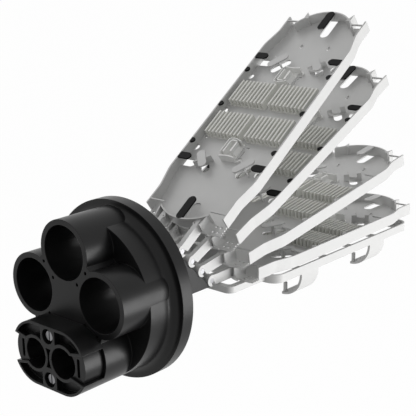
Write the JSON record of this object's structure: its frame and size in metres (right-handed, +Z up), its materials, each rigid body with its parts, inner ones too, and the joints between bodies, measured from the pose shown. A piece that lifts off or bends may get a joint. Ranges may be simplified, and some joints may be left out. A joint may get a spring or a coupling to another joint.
{
  "type": "fibre splice closure",
  "caption": "Dome-type fibre splice closure, dome removed: flanged base with cable ports and gland, and hinged splice trays that fan out from a stepped bracket above an open carrier.",
  "frame": {"origin": "centre of the round flange, half way through its thickness", "axes": "+X from the cable ports to the trays along the flange's axis, +Z up towards the single top port"},
  "size_m": [0.4675, 0.15, 0.275],
  "materials": {
    "black_plastic": "satin moulded",
    "seal_rubber": "matte",
    "steel": "plain zinc-plated",
    "light_plastic": "satin moulded",
    "comb_plastic": "satin moulded"
  },
  "bodies": {
    "base": {"base_housing": "black_plastic", "flange_seal": "seal_rubber", "gland_body": "black_plastic", "gland_plate_upper": "black_plastic", "gland_plate_lower": "black_plastic", "gland_seal": "seal_rubber", "gland_inner_plate": "black_plastic", "gland_screw_upper": "steel", "gland_screw_lower": "steel", "hinge_bracket": "black_plastic", "hinge_pin_1": "steel", "hinge_pin_2": "steel", "hinge_pin_3": "steel", "hinge_pin_4": "steel", "tray_carrier": "light_plastic", "carrier_screw_1": "steel", "carrier_screw_2": "steel", "carrier_screw_3": "steel", "carrier_screw_4": "steel"},
    "tray_1": {"splice_tray_1": "light_plastic", "splice_comb_1_near_right": "comb_plastic", "splice_comb_1_near_left": "comb_plastic", "splice_comb_1_far_right": "comb_plastic", "splice_comb_1_far_left": "comb_plastic", "fibre_clip_1_near": "light_plastic", "fibre_clip_1_far": "light_plastic"},
    "tray_2": {"splice_tray_2": "light_plastic", "splice_comb_2_near_right": "comb_plastic", "splice_comb_2_near_left": "comb_plastic", "splice_comb_2_far_right": "comb_plastic", "splice_comb_2_far_left": "comb_plastic", "fibre_clip_2_near": "light_plastic", "fibre_clip_2_far": "light_plastic"},
    "tray_3": {"splice_tray_3": "light_plastic", "splice_comb_3_near_right": "comb_plastic", "splice_comb_3_near_left": "comb_plastic", "splice_comb_3_far_right": "comb_plastic", "splice_comb_3_far_left": "comb_plastic", "fibre_clip_3_near": "light_plastic", "fibre_clip_3_far": "light_plastic"},
    "tray_4": {"splice_tray_4": "light_plastic", "splice_comb_4_near_right": "comb_plastic", "splice_comb_4_near_left": "comb_plastic", "splice_comb_4_far_right": "comb_plastic", "splice_comb_4_far_left": "comb_plastic", "fibre_clip_4_near": "light_plastic", "fibre_clip_4_far": "light_plastic"}
  },
  "joints": [
    {"name": "tray_1_hinge", "type": "hinge", "parent": "base", "child": "tray_1", "pos_m": [0.05105, 0, 0.022], "axis": [0, -1, 0], "range_deg": [-35, 55]},
    {"name": "tray_2_hinge", "type": "hinge", "parent": "base", "child": "tray_2", "pos_m": [0.06325, 0, 0.0101], "axis": [0, -1, 0], "range_deg": [-25, 39.29]},
    {"name": "tray_3_hinge", "type": "hinge", "parent": "base", "child": "tray_3", "pos_m": [0.07545, 0, -0.0018], "axis": [0, -1, 0], "range_deg": [-9.5, 14.93]},
    {"name": "tray_4_hinge", "type": "hinge", "parent": "base", "child": "tray_4", "pos_m": [0.08765, 0, -0.0137], "axis": [0, -1, 0], "range_deg": [-0.8, 1.26]}
  ],
  "couplings": [
    {"joint": "tray_2_hinge", "follows": "tray_1_hinge", "ratio": 0.71429},
    {"joint": "tray_3_hinge", "follows": "tray_1_hinge", "ratio": 0.27143},
    {"joint": "tray_4_hinge", "follows": "tray_1_hinge", "ratio": 0.022857}
  ]
}
